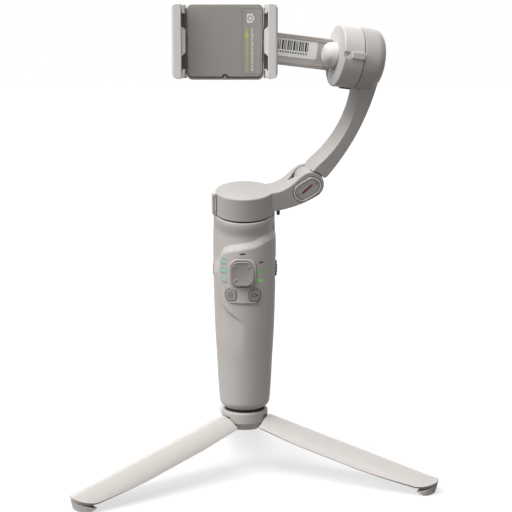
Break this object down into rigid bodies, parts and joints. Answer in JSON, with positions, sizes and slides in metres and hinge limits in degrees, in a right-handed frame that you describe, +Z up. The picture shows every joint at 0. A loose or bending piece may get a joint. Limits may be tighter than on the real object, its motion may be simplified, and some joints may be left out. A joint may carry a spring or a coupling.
{
  "type": "phone gimbal stabilizer",
  "caption": "Handheld three-axis phone gimbal with folding arm, sliding phone clamp, joystick handle and a folding three-leg table tripod.",
  "frame": {"origin": "on the ground, under the middle of the bounding box at rest", "axes": "+Z up along the handle, -Y towards the user who faces the controls and the phone pad, +X to the user's right"},
  "size_m": [0.2438, 0.2306, 0.3221],
  "materials": {
    "shell": "satin",
    "shade": "satin",
    "rubber": "matte",
    "black": "matte",
    "pad": "matte",
    "jaw_pad": "matte",
    "chrome": "polished",
    "steel": "satin",
    "copper": "satin",
    "brass": "satin",
    "board": "matte",
    "cell": "gloss",
    "status_light": "gloss",
    "battery_light": "gloss"
  },
  "bodies": {
    "handle": {"handle_front_shell": "shell", "handle_rear_shell": "shell", "tripod_insert": "brass", "battery_cell": "cell", "main_board": "board", "joystick_housing": "black", "joystick_surround": "shell", "button_bezel": "shell", "status_light_pipe": "status_light", "battery_light_pipe": "battery_light", "usb_socket": "black", "motor_deck": "shade", "pan_stator": "copper", "pan_bearing": "steel", "tripod_hub": "shell", "hub_top_pad": "rubber", "hub_base_cap": "shade", "tripod_screw": "steel", "leg_pin_left": "steel", "leg_pin_right": "steel", "leg_pin_rear": "steel"},
    "leg_left": {"leg_left": "shell", "foot_left": "rubber"},
    "leg_right": {"leg_right": "shell", "foot_right": "rubber"},
    "leg_rear": {"leg_rear": "shell", "foot_rear": "rubber"},
    "joystick_yoke": {"joystick_yoke": "shade"},
    "joystick_stick": {"joystick_stick": "shade"},
    "mode_button": {"mode_button": "shell"},
    "record_button": {"record_button": "shell"},
    "power_button": {"power_button": "shell"},
    "zoom_slider": {"zoom_slider": "black"},
    "pan_head": {"lower_arm": "shell", "pan_magnet_ring": "steel", "pan_shaft": "steel", "stow_catch": "shell", "pan_stop_peg": "black", "fold_hinge_pin": "steel", "badge_trim_ring": "chrome", "hinge_badge": "shell"},
    "upper_arm": {"upper_arm": "shell", "tilt_stator": "copper", "tilt_bearing": "steel"},
    "tilt_head": {"tilt_rotor_housing": "shell", "tilt_stop_bumper": "black", "tilt_magnet_ring": "steel", "tilt_shaft": "steel", "clamp_bar": "shell", "roll_motor_housing": "shell", "roll_stator": "copper"},
    "clamp": {"roll_rotor": "steel", "clamp_base": "shell", "clamp_pad": "pad"},
    "jaw_right": {"jaw_right": "shell", "jaw_pad_right": "jaw_pad"},
    "jaw_left": {"jaw_left": "shell", "jaw_pad_left": "jaw_pad"},
    "jaw_pinion": {"jaw_pinion": "steel"}
  },
  "joints": [
    {"name": "leg_left_fold", "type": "hinge", "parent": "handle", "child": "leg_left", "pos_m": [-0.01763, -0.03136, 0.0365], "axis": [0.6157, -0.788, 0], "range_deg": [0, 75.4]},
    {"name": "leg_right_fold", "type": "hinge", "parent": "handle", "child": "leg_right", "pos_m": [0.00124, -0.0287, 0.0365], "axis": [0.3746, 0.9272, 0], "range_deg": [0, 75.4]},
    {"name": "leg_rear_fold", "type": "hinge", "parent": "handle", "child": "leg_rear", "pos_m": [-0.00973, -0.01361, 0.0365], "axis": [-0.9976, -0.0698, 0], "range_deg": [0, 75.4]},
    {"name": "pan_turn", "type": "hinge", "parent": "handle", "child": "pan_head", "pos_m": [-0.00896, -0.02458, 0.1821], "axis": [0, -0.2079, 0.9781], "range_deg": [-160, 165]},
    {"name": "arm_fold", "type": "hinge", "parent": "pan_head", "child": "upper_arm", "pos_m": [0.034, -0.01943, 0.20364], "axis": [-0.2164, 0.955, 0.203], "range_deg": [0, 105]},
    {"name": "tilt_turn", "type": "hinge", "parent": "upper_arm", "child": "tilt_head", "pos_m": [0.05157, -0.0336, 0.28906], "axis": [-0.962, -0.244, 0.1221], "range_deg": [-95, 95]},
    {"name": "roll_turn", "type": "hinge", "parent": "tilt_head", "child": "clamp", "pos_m": [-0.02096, -0.06158, 0.2985], "axis": [0, 1, 0], "range_deg": [-95, 95]},
    {"name": "jaw_right_slide", "type": "slide", "parent": "clamp", "child": "jaw_right", "axis": [1, 0, 0], "range_m": [0, 0.017], "stiffness_N_per_m": 150, "springref_m": -0.02},
    {"name": "jaw_left_slide", "type": "slide", "parent": "clamp", "child": "jaw_left", "axis": [-1, 0, 0], "range_m": [0, 0.017]},
    {"name": "jaw_pinion_turn", "type": "hinge", "parent": "clamp", "child": "jaw_pinion", "pos_m": [-0.02096, -0.06158, 0.2985], "axis": [0, 1, 0], "range_deg": [-1, 245]},
    {"name": "joystick_up_down", "type": "hinge", "parent": "handle", "child": "joystick_yoke", "pos_m": [-0.00982, -0.04156, 0.1441], "axis": [0.9987, -0.0506, 0], "range_deg": [-6, 6], "stiffness_Nm_per_rad": 0.06},
    {"name": "joystick_left_right", "type": "hinge", "parent": "joystick_yoke", "child": "joystick_stick", "pos_m": [-0.00982, -0.04156, 0.1441], "axis": [0, 0, 1], "range_deg": [-6, 6], "stiffness_Nm_per_rad": 0.06},
    {"name": "mode_button_press", "type": "slide", "parent": "handle", "child": "mode_button", "axis": [0.4131, 0.9107, 0], "range_m": [0, 0.0006], "stiffness_N_per_m": 600, "springref_m": -0.001},
    {"name": "record_button_press", "type": "slide", "parent": "handle", "child": "record_button", "axis": [-0.319, 0.9478, 0], "range_m": [0, 0.0006], "stiffness_N_per_m": 600, "springref_m": -0.001},
    {"name": "power_button_press", "type": "slide", "parent": "handle", "child": "power_button", "axis": [1, 0, 0], "range_m": [0, 0.0006], "stiffness_N_per_m": 600, "springref_m": -0.001},
    {"name": "zoom_slide", "type": "slide", "parent": "handle", "child": "zoom_slider", "axis": [0, 0, 1], "range_m": [-0.003, 0.003], "stiffness_N_per_m": 250}
  ],
  "couplings": [
    {"joint": "jaw_left_slide", "follows": "jaw_right_slide", "ratio": 1},
    {"joint": "jaw_pinion_turn", "follows": "jaw_right_slide", "rad_per_m": 250}
  ]
}
